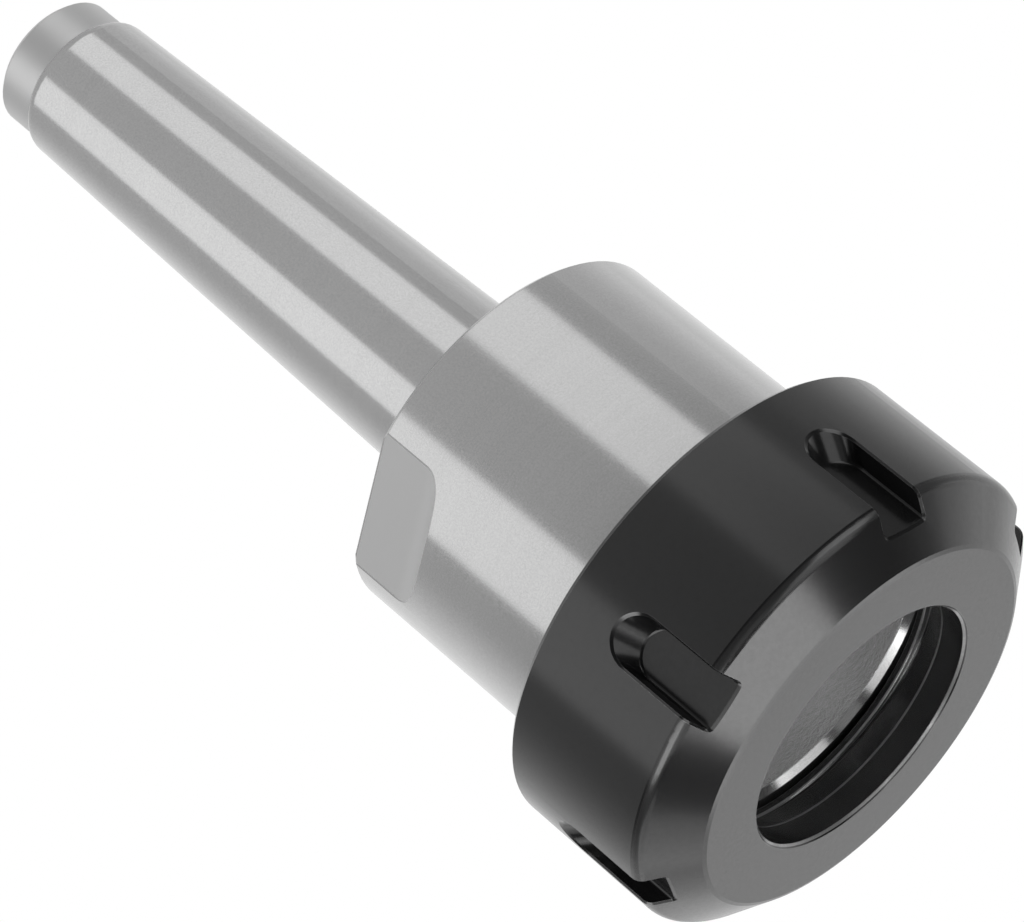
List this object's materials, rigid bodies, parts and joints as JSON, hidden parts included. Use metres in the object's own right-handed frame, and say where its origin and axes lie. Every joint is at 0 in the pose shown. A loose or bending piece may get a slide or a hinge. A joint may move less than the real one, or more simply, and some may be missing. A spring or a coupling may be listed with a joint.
{
  "type": "collet chuck holder",
  "caption": "Taper shank holder for spring collets, with a slotted clamping nut screwed on its head, wrench flats and a drawbar thread.",
  "frame": {"origin": "centre of the nut's front face, on which the holder stands", "axes": "+Z along the turning axis, from the nut's front face to the small end of the taper shank; the wrench flats face -Y and +Y; one spanner slot of the nut points along +X, to within 1.3 degrees"},
  "size_m": [0.064, 0.064, 0.1466],
  "materials": {
    "black_oxide_steel": "black oxide, satin, oiled",
    "ground_steel": "hardened and fine ground, satin"
  },
  "bodies": {
    "nut": {"clamping_nut": "black_oxide_steel"},
    "holder": {"holder_body": "ground_steel"}
  },
  "joints": [
    {"name": "nut_unscrew", "type": "slide", "parent": "nut", "child": "holder", "axis": [0, 0, 1], "range_m": [0, 0.018]}
  ]
}
